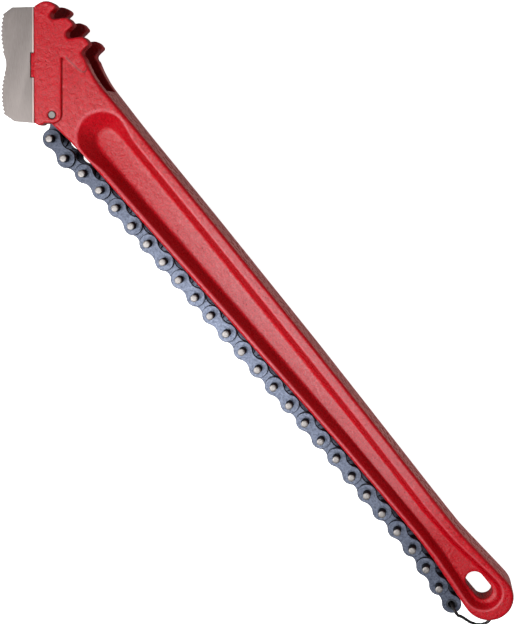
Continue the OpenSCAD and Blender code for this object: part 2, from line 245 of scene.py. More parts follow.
def groundSteel():
    # grinding lines along the jaw, and a painted highlight on the bevel where it meets the seat
    f = Finish("groundSteel")
    along = f.placed((0.005, 0.0004, 0.0004), -jawTurn)
    lines = f.noise(1, 3, 0.6, along)
    cloud = f.noise(45, 3)
    colour = f.ramp(lines, (0.3, linear(143, 134, 131)), (0.7, linear(164, 155, 151)))
    colour = f.mix("MULTIPLY", 0.3, colour, f.ramp(cloud, (0.3, 0.75), (0.7, 1.0)))
    # painted highlight: a pale strip along the jaw's edge at the seat
    inward = f.math("ADD", f.axis("Y", f.placed((0.01, 0.01, 0.01), -jawTurn)), 0.5)
    colour = f.mix("MIX", f.ramp(inward, (0.37, 0.0), (0.4, 0.55)), colour, linear(250, 226, 220))
    f.bump(f.math("ADD", lines, f.noise(1400, 2)), 0.25, 0.0001)
    return f.wear(base_color=colour, metallic=0.4, roughness=f.ramp(lines, (0.3, 0.5), (0.7, 0.64)))


def plateSteel():
    # blued sheet with a cloudy tone, a painted reflection that is dim at the head and brightest part way
    # along the chain, and dark cut edges
    f = Finish("plateSteel")
    grain = f.noise(700, 4, 0.7)
    cloud = f.noise(90, 4, 0.6)
    colour = f.ramp(grain, (0.34, linear(92, 101, 120)), (0.66, linear(156, 165, 184)))
    colour = f.mix("MULTIPLY", 0.6, colour, f.ramp(cloud, (0.35, 0.5), (0.65, 1.0)))
    # painted reflection: brightness along the chain, dim at the head
    reflectionAlongChain = (0.08, linear(160, 160, 165)), (0.42, linear(240, 240, 245)), (0.95, linear(195, 195, 200))
    along = f.ramp(f.math("MULTIPLY", f.axis("X"), 1.7), *reflectionAlongChain)
    colour = f.mix("MULTIPLY", 1.0, colour, along)
    flat = f.ramp(f.math("ABSOLUTE", f.facing("Z"), 0.0), (0.55, 0.0), (0.97, 1.0))
    colour = f.mix("MIX", flat, linear(30, 33, 42), colour)
    f.bump(f.math("ADD", grain, f.noise(380, 2)), 0.25, 0.00015)
    return f.wear(base_color=colour, metallic=0.7, roughness=f.ramp(cloud, (0.3, 0.36), (0.7, 0.5)))


def bushSteel():
    # dark oiled sleeve
    f = Finish("bushSteel")
    cloud = f.noise(160, 3)
    colour = f.ramp(cloud, (0.3, linear(46, 48, 54)), (0.7, linear(84, 88, 96)))
    f.bump(f.noise(1200, 2), 0.2, 0.0001)
    return f.wear(base_color=colour, metallic=0.8, roughness=f.ramp(cloud, (0.3, 0.35), (0.7, 0.5)))


def pinSteel(name, reach, dull, bright):
    # bright sheared ends, dark sides; reach is the height of the end face from the middle plane
    f = Finish(name)
    startBelow, run = 0.55, 0.3  # the end's tone starts this far below its face, and is full after the run
    high = f.math("ABSOLUTE", f.math("SUBTRACT", f.axis("Z"), midZ * mm), 0.0)
    past = f.math("SUBTRACT", high, (reach - startBelow) * mm)
    end = f.ramp(f.math("MULTIPLY", past, 1 / (run * mm)), (0.0, 0.0), (1.0, 1.0))
    grain = f.noise(1500, 3, 0.6)
    face = f.ramp(grain, (0.3, linear(*dull)), (0.7, linear(*bright)))
    side = f.ramp(grain, (0.3, linear(30, 30, 33)), (0.7, linear(56, 56, 60)))
    f.bump(grain, 0.3, 0.00015)
    return f.wear(base_color=f.mix("MIX", end, side, face), metallic=0.8,
                  roughness=f.ramp(grain, (0.3, 0.36), (0.7, 0.55)))


def tieCord():
    # black waxed cord
    f = Finish("tieCord")
    grain = f.noise(1800, 2)
    colour = f.ramp(grain, (0.3, linear(14, 14, 14)), (0.7, linear(40, 39, 38)))
    f.bump(grain, 0.3, 0.00012)
    return f.wear(base_color=colour, roughness=f.ramp(grain, (0.3, 0.38), (0.7, 0.55)))


enamel, jawSteel, linkSteel, sleeveSteel = redEnamel(), groundSteel(), plateSteel(), bushSteel()
pinFinish = pinSteel("pinSteel", 18.25, (126, 122, 121), (178, 173, 171))
anchorFinish = pinSteel("anchorSteel", 22.3, (112, 110, 107), (148, 145, 142))
cordFinish = tieCord()
print("finishes made")


def addPiece(name, points, faces, finish, body, nodes, flat=None):
    # points in millimetres about the middle plane; flat marks faces that keep a hard edge
    mesh = bpy.data.meshes.new(name)
    places = np.asarray(points, float) + (0, 0, midZ)
    if isinstance(faces, np.ndarray):
        mesh.vertices.add(len(places))
        mesh.vertices.foreach_set("co", (places * mm).astype(np.float32).ravel())
        mesh.loops.add(faces.size)
        mesh.loops.foreach_set("vertex_index", faces.astype(np.int32).ravel())
        mesh.polygons.add(len(faces))
        mesh.polygons.foreach_set("loop_start", np.arange(0, faces.size, 4, dtype=np.int32))
        mesh.update(calc_edges=True)
    else:
        mesh.from_pydata((places * mm).tolist(), [], faces)
    mesh.validate()
    smooth = np.ones(len(mesh.polygons), bool) if flat is None else ~np.asarray(flat, bool)
    mesh.polygons.foreach_set("use_smooth", smooth)
    mesh.materials.append(finish)
    piece = bpy.data.objects.new(name, mesh)
    bpy.context.scene.collection.objects.link(piece)
    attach(piece, body)
    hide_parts(*nodes)
    return piece


# tie: a twisted cord through the last hole, its route counted from that hole's centre
tie = {"radius": 1.2, "strands": 2, "lay": 0.09, "pitch": 5.0, "sides": 16, "perStep": 8,
       "sideOf": (0.25, 0.9, 0.35)}  # a direction that the route never takes
tieRoute = np.array([
    [0, 0, 1.5], [0, 0, 5], [0, 0, 8.9], [0.7, 0, 11.6], [2.6, -0.1, 13.6], [5.2, -0.3, 14.3],
    [7.8, -0.6, 13.6], [9.8, -1, 11.6], [12, -1.5, 7.7], [15, -2.2, 2.5], [19, -2.9, -3], [24, -3.2, -8],
    [29.5, -2.7, -11.8], [34.5, -0.5, -14], [38, 3.8, -15], [38.6, 9.5, -15.1], [36, 14.6, -15.1],
    [31, 18.2, -15.1], [25, 19.6, -15.1], [19, 18.8, -15.1], [13.4, 16.2, -15.1], [8.4, 12.2, -15.1],
    [4.5, 7.7, -15], [2, 3.8, -14.2], [0.5, 1.1, -11.8], [0, 0, -8.7], [0, 0, -5], [0, 0, -1.5],
])


def smoothWay(points, count):
    # cubic through every point: half of (2b + (c-a)t + (2a-5b+4c-d)t^2 + (3b-a-3c+d)t^3)
    p = np.vstack([2 * points[0] - points[1], points, 2 * points[-1] - points[-2]])
    a, b, c, d = (p[i:len(p) - 3 + i, None] for i in range(4))
    t = np.linspace(0, 1, count, endpoint=False)[:, None]
    square, cube = 2 * a - 5 * b + 4 * c - d, 3 * b - a - 3 * c + d
    way = 0.5 * (2 * b + (c - a) * t + square * t ** 2 + cube * t ** 3)
    return np.vstack([way.reshape(-1, 3), points[-1:]])


def tieSurface(way):
    # radius r(angle, s) = r0 (1 + lay cos(strands angle - 2 pi s / pitch)) round the route, s along it
    ahead = np.gradient(way, axis=0)
    ahead /= np.linalg.norm(ahead, axis=1)[:, None]
    side = np.cross(ahead, tie["sideOf"])
    side /= np.linalg.norm(side, axis=1)[:, None]
    up = np.cross(ahead, side)
    s = np.concatenate([[0], np.cumsum(np.linalg.norm(np.diff(way, axis=0), axis=1))])
    angle = np.linspace(0, 2 * np.pi, tie["sides"], endpoint=False)
    twist = np.cos(tie["strands"] * angle - 2 * np.pi * s[:, None] / tie["pitch"])
    r = tie["radius"] * (1 + tie["lay"] * twist)
    ring = side[:, None] * np.cos(angle)[:, None] + up[:, None] * np.sin(angle)[:, None]
    points = way[:, None] + r[..., None] * ring
    return points.reshape(-1, 3), s[-1]


def ringFaces(rings, around):
    # quads between neighbouring rings, and one flat face at each end
    k, i = np.meshgrid(np.arange(rings - 1), np.arange(around), indexing="ij")
    a, b = k * around + i, k * around + (i + 1) % around
    quads = np.stack([a, b, b + around, a + around], 2).reshape(-1, 4).tolist()
    first, last = list(range(around)), list(range((rings - 1) * around, rings * around))
    return quads + [first[::-1], last]


tieWay = smoothWay(tieRoute, tie["perStep"]) + (*holes[-1], 0)
tiePoints, tieLength = tieSurface(tieWay)
tieFaces = ringFaces(len(tieWay), tie["sides"])
tiePiece = addPiece("tieCord", tiePoints, tieFaces, cordFinish, "link_27", ["chain_tie"])
print("tie made, mm:", round(tieLength, 1))


# handle: a distance field over the plan and the height, then one surface through its zero
handle = {
    "seatHalf": 44.4, "padSide": 22.9, "padCorner": 7.5, "padHalf": 22.5, "neckHalf": 21.7,
    "lug": (9.5, 2.9, 4),  # half width, past the seat, behind it
    "hookX": -17.4, "hookY": 37.8, "seatR": 3.07, "tipR": 2.1, "flank": 59, "lastFlank": 12,
    "crest": (-7.2, 0.9, 6.4, 78, 149), "firstCrest": (-4.2, -4.9, 10.6, 94, 165),  # x, y, r, from, to
    "slopeX": 86, "rimHalf": 16.5, "neckFall": 0.1152, "tailFall": 0.00655, "webHalf": 6.5,
    "tail": (554.5, 5, 20.3), "bowl": (549.8, 4.5, 10.6), "arch": (80.5, 4, 10.3),  # x, y, r
    "wallRun": 0.7, "archRun": 0.35, "floorEase": 2.2, "tailEase": 1.3, "bowlStart": 8, "bowlRise": 500,
    "endTurn": (-92, 88), "archTurn": (115, 251),  # degrees round the tail and bowl, and round the arch
    "archEnd": 98, "archSpan": 26, "tailEaseFrom": 300, "tailEaseSpan": 120,
    "edgeHead": 1.4, "edgeBar": 2.8, "edgeFrom": 18, "edgeSpan": 36, "slotHalf": 12, "anchorR": 3.2,
    "taperBlend": 1.5, "neckBlend": 1.2, "headBlend": 1.2, "edgeBlend": 1.5,
    "slotBlend": 1.0, "hangBlend": 1.4, "anchorBlend": 0.5,
    "grooveDepth": 0.8, "crookedDepth": 0.22, "grooveHalf": 0.75,
    "hang": (544.5, 4.1, 5.25, 7.25),  # x, y, half run, r
    "stepHead": 0.8, "stepBar": 2.6, "stepTail": 1.0, "stepAcross": 0.85, "stepUp": 0.8,
    "gridX": (-38, 62, 512.5, 579), "gridY": (-36, 50), "layers": 60,  # x of head, bar, tail and end
}
frontEdge = [
    (34, -19.2), (40, -20.2), (46, -19.7), (60, -18.3), (86, -17.5),
    (390, -9), (484, -8.7), (502, -9.8), (534, -13.2),
]
backEdge = [
    (500, 21.4), (468, 22), (372, 24.8), (308, 26.5), (182, 28.5), (86, 29.3),
    (46, 29.9), (40, 30.5), (29, 32.7), (24.5, 34.3), (20, 32), (8, 16),
]
floorFront = [(86, -6.4), (390, 0.1), (480, 0), (503, -0.9), (530, -3.6)]
floorBack = [(502, 8.8), (468, 7.8), (372, 10.8), (308, 12), (182, 13.5), (86, 14)]
slotLine = [
    (-70, 70), (-70, -70), (56, -70), (56, -24), (52, -17), (47, -7), (39, 4),
    (37, 10), (39, 17), (45, 24), (50, 29), (52, 34), (52, 70),
]
crookedLine = [
    (-6.2, 26.6), (-3.4, 29.5), (-0.3, 33.1), (2.3, 36), (4.3, 39), (4.4, 41.2), (2.9, 42.7), (0.4, 43.1),
]


def turned(points):
    # jaw frame to wrench frame
    c, s = np.cos(jawTurn), np.sin(jawTurn)
    u, w = np.asarray(points, float).T
    return np.stack([u * c + w * s, w * c - u * s], 1)


def arc(x, y, r, start, end, count):
    # points at (x + r cos a, y + r sin a), a in degrees
    a = np.radians(np.linspace(start, end, count))
    return np.stack([x + r * np.cos(a), y + r * np.sin(a)], 1)


def eased(line, step=2, window=8):
    # closed line at even steps, each point the mean of its neighbours within the window
    loop = np.vstack([line, line[:1]])
    s = np.concatenate([[0], np.cumsum(np.linalg.norm(np.diff(loop, axis=0), axis=1))])
    at = np.linspace(0, s[-1], int(s[-1] / step), endpoint=False)
    even = np.stack([np.interp(at, s, loop[:, i]) for i in (0, 1)], 1)
    half = int(window / step / 2)
    return sum(np.roll(even, k, 0) for k in range(-half, half + 1)) / (2 * half + 1)


def hookLine(k):
    # pin seat, then a small round tip over it, then the long round back of the hook
    seat = np.array([handle["hookX"] + k * chain["pitch"], handle["hookY"]])
    crestX, crestY, crestR, start, end = handle["firstCrest"] if k == 0 else handle["crest"]
    tipR = handle["tipR"]
    tip = seat + (-handle["seatR"] - tipR, crestY + crestR - tipR)
    flank = handle["lastFlank"] if k == 2 else handle["flank"]
    return np.vstack([
        arc(*seat, handle["seatR"], flank - 90, -180, 15),
        arc(*tip, tipR, 0, 80, 7),
        arc(seat[0] + crestX, seat[1] + crestY, crestR, start, end, 13),
    ])


def headLine():
    # seat and pad in the jaw's frame, then the three hooks from the neck outwards
    h, c = handle["seatHalf"], handle["padCorner"]
    pad = np.vstack([
        [(-h, 0), (h, 0), (h + 2, 3.2), (h + 2, 6), (h, 8.8)],
        arc(h - c, handle["padSide"] - c, c, 0, 90, 9),
        [(-6.2, handle["padSide"]), (-5.2, 26), (4.7, 39)],
    ])
    return np.vstack([turned(pad), [(28, 32.6), (23.4, 34.6)], hookLine(2), hookLine(1), hookLine(0),
                      turned([(-h, 0)]) + (0.3, 2.6)])


def lineDistance(px, py, line, closed=True):
    # nearest distance to the line's straight steps, below zero inside a closed line
    a, b = (line, np.roll(line, -1, 0)) if closed else (line[:-1], line[1:])
    d = b - a
    rise = np.where(d[:, 1] == 0, 1e-9, d[:, 1])

    def block(p):
        gap = p[:, None, :] - a
        t = np.clip((gap * d).sum(2) / (d * d).sum(1), 0, 1)
        near = np.sqrt(((gap - t[..., None] * d) ** 2).sum(2).min(1))
        if not closed:
            return near
        spans = (a[:, 1] > p[:, 1:]) != (b[:, 1] > p[:, 1:])
        passes = spans & (gap[..., 0] < gap[..., 1] / rise * d[:, 0])
        return np.where(passes.sum(1) % 2 == 1, -near, near)

    p = np.stack([px.ravel(), py.ravel()], 1)
    return np.concatenate([block(part) for part in np.array_split(p, 16)]).reshape(px.shape)


def softMin(a, b, k):
    # the smaller of two fields, blended where they are within k of each other
    h = np.clip(0.5 + 0.5 * (b - a) / k, 0, 1)
    return b + (a - b) * h - k * h * (1 - h)


def softMax(a, b, k):
    return -softMin(-a, -b, k)


def softStep(t):
    # 3 t^2 - 2 t^3 between 0 and 1
    t = np.clip(t, 0, 1)
    return t * t * (3 - 2 * t)


def grooveLines():
    # straight groove round the pad's corner, and the short crooked line that leaves its upper end
    c = handle["padCorner"]
    corner = arc(handle["seatHalf"] - c, handle["padSide"] - c, c, 90, 0, 9)
    return turned(np.vstack([[(-5.4, handle["padSide"])], corner])), turned(crookedLine)


def handleTop(px, py):
    # half height of the rim from neck slope, long taper, raised pad and grooves,
    # and half height of the recess: flat floor, sloped walls, a slow rise past the hang hole
    rim, fallX = handle["rimHalf"], handle["slopeX"] - px
    slopes = rim + handle["neckFall"] * fallX, rim + handle["tailFall"] * fallX
    top = softMin(softMax(*slopes, handle["taperBlend"]), handle["neckHalf"] + 0 * px, handle["neckBlend"])
    top = top + (handle["padHalf"] - top) * softStep(0.5 - lineDistance(px, py, headLine()))
    for line, depth in zip(grooveLines(), (handle["grooveDepth"], handle["crookedDepth"])):
        top = top - depth * np.exp(-(lineDistance(px, py, line, False) / handle["grooveHalf"]) ** 2)
    arch, bowl = arc(*handle["arch"], *handle["archTurn"], 12), arc(*handle["bowl"], *handle["endTurn"], 16)
    floor = eased(np.vstack([arch, floorFront, bowl, floorBack]))
    run = handle["wallRun"] + handle["archRun"] * softStep((handle["archEnd"] - px) / handle["archSpan"])
    climb = lineDistance(px, py, floor) / run
    tailward = softStep((px - handle["tailEaseFrom"]) / handle["tailEaseSpan"])
    ease = handle["floorEase"] - handle["tailEase"] * tailward
    past = np.maximum(px - handle["hang"][0] + handle["bowlStart"], 0)
    rise = past ** 2 / handle["bowlRise"]
    return top, handle["webHalf"] + rise + 0.5 * (climb + np.sqrt(climb ** 2 + ease ** 2))


def handleField(xs, ys, zs):
    # inside where plan(x, y) < 0 and |z| < top(x, y), edges rounded by r; slot and holes taken out
    px, py = np.meshgrid(xs, ys, indexing="ij")
    bar = np.vstack([frontEdge, arc(*handle["tail"], *handle["endTurn"], 31), backEdge])
    half, out, back = handle["lug"]
    lug = turned([(-half, -out), (half, -out), (half, back), (-half, back)])
    dHead = np.minimum(lineDistance(px, py, headLine()), lineDistance(px, py, lug))
    dPlan = softMin(lineDistance(px, py, eased(bar)), dHead, handle["headBlend"])
    top = softMin(*handleTop(px, py), handle["edgeBlend"])
    lean = np.hypot(np.gradient(top, xs, axis=0), np.gradient(top, ys, axis=1))

    barward = softStep((px - handle["edgeFrom"]) / handle["edgeSpan"])
    r = handle["edgeHead"] + (handle["edgeBar"] - handle["edgeHead"]) * barward
    z = np.abs(zs)
    side = (dPlan + r)[..., None]
    over = ((z - top[..., None]) / np.sqrt(1 + lean ** 2)[..., None]) + r[..., None]
    inner, outer = np.minimum(np.maximum(side, over), 0), np.hypot(np.maximum(side, 0), np.maximum(over, 0))
    body = inner + outer - r[..., None]
    slot = np.maximum(lineDistance(px, py, np.array(slotLine, float))[..., None], z - handle["slotHalf"])
    body = softMax(body, -slot, handle["slotBlend"])
    hangX, hangY, hangRun, hangR = handle["hang"]
    hang = np.hypot(np.maximum(np.abs(px - hangX) - hangRun, 0), py - hangY) - hangR
    anchor = np.hypot(px - holes[0][0], py - holes[0][1]) - handle["anchorR"]
    body = softMax(body, -hang[..., None], handle["hangBlend"])
    return softMax(body, -anchor[..., None], handle["anchorBlend"])


def netSurface(field, axes):
    # a point in every cell the zero passes through, at the mean of its edge crossings,
    # and a face over every grid edge whose two ends lie on different sides
    inside = field < 0
    n = np.array(field.shape) - 1
    corners = [(a, b, c) for a in (0, 1) for b in (0, 1) for c in (0, 1)]
    full = sum(inside[a:a + n[0], b:b + n[1], c:c + n[2]].astype(np.int8) for a, b, c in corners)
    crossed = (full > 0) & (full < 8)
    cell = np.argwhere(crossed)
    number = np.full(crossed.shape, -1, np.int64)
    number[crossed] = np.arange(len(cell))
    total, hits = np.zeros((len(cell), 3)), np.zeros(len(cell))
    for axis in range(3):
        for corner in corners:
            if corner[axis]:
                continue
            p = cell + corner
            q = p.copy()
            q[:, axis] += 1
            f0, f1 = field[tuple(p.T)], field[tuple(q.T)]
            change = (f0 < 0) != (f1 < 0)
            share = np.where(change, f0 / np.where(change, f0 - f1, 1), 0)
            place = np.stack([axes[i][p[:, i]] for i in range(3)], 1)
            place[:, axis] += share * (axes[axis][q[:, axis]] - place[:, axis])
            total += place * change[:, None]
            hits += change
    faces = []
    for axis in range(3):
        u, v = (axis + 1) % 3, (axis + 2) % 3
        first = np.take(inside, np.arange(n[axis]), axis)
        edge = np.argwhere(first != np.take(inside, np.arange(1, n[axis] + 1), axis))

        def beside(du, dv):
            c = edge.copy()
            c[:, u] -= du
            c[:, v] -= dv
            return number[tuple(c.T)]

        quad = np.stack([beside(1, 1), beside(0, 1), beside(0, 0), beside(1, 0)], 1)
        faces.append(np.where(first[tuple(edge.T)][:, None], quad, quad[:, ::-1]))
    return total / hits[:, None], np.vstack(faces)


def handleGrid():
    # fine steps at head and tail, coarse ones along the bar
    headX, barX, tailX, endX = handle["gridX"]
    xs = np.concatenate([
        np.arange(headX, barX, handle["stepHead"]),
        np.arange(barX, tailX, handle["stepBar"]),
        np.arange(tailX, endX, handle["stepTail"]),
    ])
    ys = np.arange(*handle["gridY"], handle["stepAcross"])
    zs = (np.arange(handle["layers"]) - (handle["layers"] - 1) / 2) * handle["stepUp"]
    return xs, ys, zs


grid = handleGrid()
handlePoints, handleFaces = netSurface(handleField(*grid), grid)
handlePiece = addPiece("handleCasting", handlePoints, handleFaces, enamel, "frame", ["handle"])


def bulges(mesh, points):
    # mean over a point's edges of normal . (point - neighbour) / length:
    # above zero on ridges, below in hollows
    normals = np.zeros(len(points) * 3, np.float32)
    mesh.vertices.foreach_get("normal", normals)
    normals = normals.reshape(-1, 3)
    ends = np.zeros(len(mesh.edges) * 2, np.int32)
    mesh.edges.foreach_get("vertices", ends)
    total, count = np.zeros(len(points)), np.zeros(len(points))
    for near, far in (ends.reshape(-1, 2).T, ends.reshape(-1, 2).T[::-1]):
        step = points[near] - points[far]
        np.add.at(total, near, (normals[near] * step).sum(1) / np.linalg.norm(step, axis=1))
        np.add.at(count, near, 1)
    return normals, total / count


def fade(value, none, full):
    # 0 at none, 1 at full, eased between them
    return softStep((value - none) / (full - none))


# shares of each tone at every point, for the paint, most of them painted light and shade; the two gaps are
# distances that the finish cuts sharply
normals, bulge = bulges(handlePiece.data, handlePoints)
upright = np.abs(normals[:, 2])
x, y, z = handlePoints.T
rimTop, wallTop = handleTop(x, y)
straight, crooked = (lineDistance(x, y, line, False) for line in grooveLines())
flat, steep = fade(upright, 0.3, 0.6), fade(upright, 0.5, 0.2)
toBack, toFront = fade(normals[:, 1], 0, 0.6), fade(normals[:, 1], 0, -0.6)
atHooks = fade(x, 32, 24) * fade(y, 12, 20)
atHang = np.hypot(x - handle["hang"][0], y - handle["hang"][1]) < 15
slotEnd = np.where(y > 15, 50, 59)  # the slot is shorter at the back
# painted shade in the recess, weighted by which way each wall faces
recess = fade(wallTop - handle["webHalf"], 1.2, 2.4) * fade(rimTop - wallTop, 0.2, 1.4) * flat
recess = recess * (0.15 + 0.85 * toBack + 0.44 * toFront)
recess = recess * (0.3 + 0.7 * fade(x, 76, 112)) * (1 - 0.3 * fade(x, 300, 450))
# painted shade on rounded edges that turn to the back
edgeTurn = fade(upright, 0.96, 0.76) * fade(upright, 0.15, 0.4) * toBack
marks = {
    # painted pale reflection on the steep sides, away from the hang hole and the hooks
    "sideReflectionLevel": steep * ~atHang * (1 - atHooks),
    # painted shade inside the slot
    "slotShade": fade(np.abs(z), 12.9, 12.3) * fade(x, slotEnd, slotEnd - 2),
    # painted sheen on the upward flats, faded in along the bar and out again near the tail
    "paintedSheenLevel": fade(upright, 0.95, 0.995) * fade(x, 50, 270) * fade(x, 510, 420),
    # painted highlight where the surface bulges out
    "edgeHighlight": fade(bulge, 0.06, 0.26) * flat,
    # painted shade: recess walls, back-turned edges, hook sides and the hang hole's walls
    "paintedShade": np.maximum.reduce([recess, 0.8 * edgeTurn, atHooks * steep, 0.4 * steep * atHang]),
    # distance to the recess lip, for the painted highlight along it
    "lipGap": np.clip(0.5 + (wallTop - rimTop) / 10, 0, 1) * flat,
    # distance to the grooves, for the painted shade in them
    "grooveGap": np.clip(np.minimum(straight, crooked) / 5, 0, 1) * flat + (1 - flat),
}
for name, share in marks.items():
    values = handlePiece.data.attributes.new(name, "FLOAT", "POINT").data
    values.foreach_set("value", share.astype(np.float32))
print("handle made, faces:", len(handleFaces))


# flat steel pieces: an outline carried up a profile that rounds both edges
def slabSurface(line, low, high, edge):
    # inset edge (1 - sin a), height edge (1 - cos a) at the lower edge, mirrored at the upper one
    along = np.roll(line, -1, 0) - line
    along /= np.linalg.norm(along, axis=1)[:, None]
    normal = np.stack([along[:, 1], -along[:, 0]], 1)
    both = normal + np.roll(normal, 1, 0)
    out = both / np.maximum((both * both).sum(1) / 2, 0.7)[:, None]
    a = np.radians([0, 30, 60, 90])
    inset = edge * np.concatenate([1 - np.sin(a), 1 - np.sin(a[::-1])])
    height = np.concatenate([low + edge * (1 - np.cos(a)), high - edge * (1 - np.cos(a[::-1]))])
    plan = line - inset[:, None, None] * out
    points = np.concatenate([plan, np.broadcast_to(height[:, None, None], (*plan.shape[:2], 1))], 2)
    faces = ringFaces(len(height), len(line))
    return points.reshape(-1, 3), faces, [False] * (len(faces) - 2) + [True, True]


def joined(*parts):
    # several closed surfaces as one mesh
    points, faces, flat, start = [], [], [], 0
    for p, f, hard in parts:
        points.append(p)
        faces += [[i + start for i in face] for face in f]
        flat += list(hard)
        start += len(p)
    return np.vstack(points), faces, flat


jaw = {
    "depth": 26.9, "biteR": 58.5, "biteShift": 1.6, "toothPitch": 3.2, "toothDepth": 1.4, "toothRoom": 10,
    "dipR": 16.2, "dipDepth": 4.3, "bevels": (9.6, 11), "half": 22.2, "edge": 0.25,
    "notch": (9.6, 2.85), "seatRoom": 0.15, "tongueHalf": 11.9, "earHalf": 6.15, "ear": (6.6, 14.8, 6.4),
}


def jawLine():
    # crest and root of every tooth lie on arcs about the two bite centres; a circle dips between them
    h, r, d = handle["seatHalf"], jaw["biteR"], jaw["depth"]
    count = int((h - jaw["toothRoom"]) / jaw["toothPitch"])
    step = jaw["toothPitch"] / r
    a = ((np.arange(count) - count / 2) * step)[:, None] + [0, step * 0.5]
    reach = np.broadcast_to([r - jaw["toothDepth"], r], a.shape)
    row = np.stack([reach * np.sin(a), r - d - reach * np.cos(a)], 2).reshape(-1, 2)
    middle = h / 2 + jaw["biteShift"]
    dip = arc(0, jaw["dipDepth"] - d - jaw["dipR"], jaw["dipR"], 115.5, 64.5, 13)
    (half, deep), top = jaw["notch"], jaw["seatRoom"]
    notch = [(half, top), (half, -deep), (-half, -deep), (-half, top)]
    upper = [(-h + 0.4, top), (-h + 0.9, jaw["bevels"][0] - d)]
    lower = [(h - 0.6, jaw["bevels"][1] - d)]
    bite = [row - (middle, 0), dip, row + (middle, 0)]
    return np.vstack([[(h, top)], notch, upper, *bite, lower]) - (0, top)


def jawSurface():
    # toothed block, thick tongue in the slot, and the thin ear round the anchor pin
    tongue = turned([(-22, -4), (24, -4), (24, 19), (22, 21), (-12, 21), (-22, 12)])
    fromEnd, w, r = jaw["ear"]
    lobe = arc(handle["seatHalf"] - fromEnd, w, r, -90, 90, 19)
    ear = turned(np.vstack([[(20, w - r)], lobe, [(20, w + r)]]))
    return joined(slabSurface(turned(jawLine()), -jaw["half"], jaw["half"], jaw["edge"]),
                  slabSurface(tongue, -jaw["tongueHalf"], jaw["tongueHalf"], 0.4),
                  slabSurface(ear, -jaw["earHalf"], jaw["earHalf"], 0.3))


jawPoints, jawFaces, jawFlat = jawSurface()
jawPiece = addPiece("serratedJaw", jawPoints, jawFaces, jawSteel, "frame", ["jaw"], jawFlat)
jawPiece.data.set_sharp_from_angle(angle=np.radians(38))
print("jaw made")


# chain plates: polar grid from each hole out to half of the two-lobed outline
plate = {
    "half": 7.8, "waist": 4.8, "thick": 2.4, "edge": 0.55, "holeEdge": 0.25, "innerZ": 6.3, "outerZ": 8.85,
    "bushHole": 4.22, "anchorHole": 3.03, "pinHole": 2.99,
}


def halfPlate(holeR):
    # outline points p and outward normals n round one hole; the middle cut is left open
    mid = chain["pitch"] / 2
    half, waist = plate["half"], plate["waist"]
    waistR = (mid ** 2 + waist ** 2 - half ** 2) / (2 * (half - waist))
    waistC = np.array([mid, waist + waistR])
    touch = np.degrees(np.arctan2(waistC[1], waistC[0]))
    upper = arc(*waistC, waistR, -90, touch - 180, 7)
    lobe = arc(0, 0, half, touch, 360 - touch, 34)[1:-1]
    lower = upper[::-1] * (1, -1)
    upperN = (waistC - upper) / waistR
    p = np.vstack([upper, lobe, lower])
    n = np.vstack([upperN, lobe / half, upperN[::-1] * (1, -1)])
    e = plate["edge"]
    cutY = np.linspace(-waist + e, waist - e, 6)[1:-1]
    cut = np.stack([np.full(len(cutY), mid), cutY], 1)
    p, n = np.vstack([p, cut]), np.vstack([n, 0 * cut])
    rim = len(p) - len(cut)
    angle = np.arctan2(p[:, 1] - n[:, 1] * e, p[:, 0] - n[:, 0] * e)
    ray = np.stack([np.cos(angle), np.sin(angle)], 1)
    t, c = plate["thick"], plate["holeEdge"]
    bend = np.radians([0, 45, 90])
    rings = [(ray * (holeR + d), z) for d, z in ((c, 0), (0, c), (0, t - c), (c, t))]
    rings += [(p - n * e * (1 - np.sin(b)), t - e * (1 - np.cos(b))) for b in bend]
    rings += [(p - n * e * (1 - np.sin(b)), e * (1 - np.cos(b))) for b in bend[::-1]]
    points = np.vstack([np.column_stack([xy, np.full(len(xy), z)]) for xy, z in rings])
    k, i = np.meshgrid(np.arange(len(rings)), np.arange(len(p)), indexing="ij")
    wall = (k >= 4) & (k <= 8) & (i >= rim - 1)  # no wall on the middle cut
    k, i = k[~wall], i[~wall]
    a, b = k * len(p) + i, k * len(p) + (i + 1) % len(p)
    up = (k + 1) % len(rings) * len(p)
    faces = np.stack([a, up + i, up + (i + 1) % len(p), b], 1)
    return points, faces, (k == 3) | (k == 9)  # the upper and the lower face stay flat


def plateSurface(firstR, secondR):
    # two half plates, the second turned half round, welded along the middle cut
    p1, f1, m1 = halfPlate(firstR)
    p2, f2, m2 = halfPlate(secondR)
    p2 = p2 * (-1, -1, 1) + (chain["pitch"], 0, 0)
    points, faces = np.vstack([p1, p2]), np.vstack([f1, f2 + len(p1)])
    _, first, index = np.unique(np.round(points, 3), axis=0, return_index=True, return_inverse=True)
    faces = index.reshape(-1)[faces]
    used, faces = np.unique(faces, return_inverse=True)
    return points[first][used], faces.reshape(-1, 4), np.concatenate([m1, m2])


def atLink(points, i):
    # link's own frame to its place in the chain
    c, s = np.cos(headings[i]), np.sin(headings[i])
    x, y, z = points.T
    return np.stack([holes[i][0] + x * c - y * s, holes[i][1] + x * s + y * c, z], 1)


def platePair(low, firstR, secondR):
    # the same plate above and below the middle plane
    points, faces, flat = plateSurface(firstR, secondR)
    parts = [(points + (0, 0, z), faces.tolist(), flat) for z in (low, -low - plate["thick"])]
    return joined(*parts)


pin = {"radius": 2.97, "half": 18.25, "chamfer": 0.4, "dome": 0.12, "sides": 28}


def pinSurface(x):
    # radius against height, spun round: a low dome, a small chamfer and a straight side
    r, c, h = pin["radius"], pin["chamfer"], pin["half"]
    end = [(r * 0.5, h - 0.03), (r - c - 0.1, h - pin["dome"]), (r - c * 0.3, h - c * 0.8), (r, h - c * 1.6)]
    profile = np.array([(q, -z) for q, z in end] + end[::-1])
    a = np.linspace(0, 2 * np.pi, pin["sides"], endpoint=False)
    ring = np.stack([np.cos(a), np.sin(a)], 1)
    xy = profile[:, :1, None] * ring + (x, 0)
    height = np.broadcast_to(profile[:, 1:, None], (*xy.shape[:2], 1))
    faces = ringFaces(len(profile), pin["sides"])
    return np.concatenate([xy, height], 2).reshape(-1, 3), faces, [False] * len(faces)


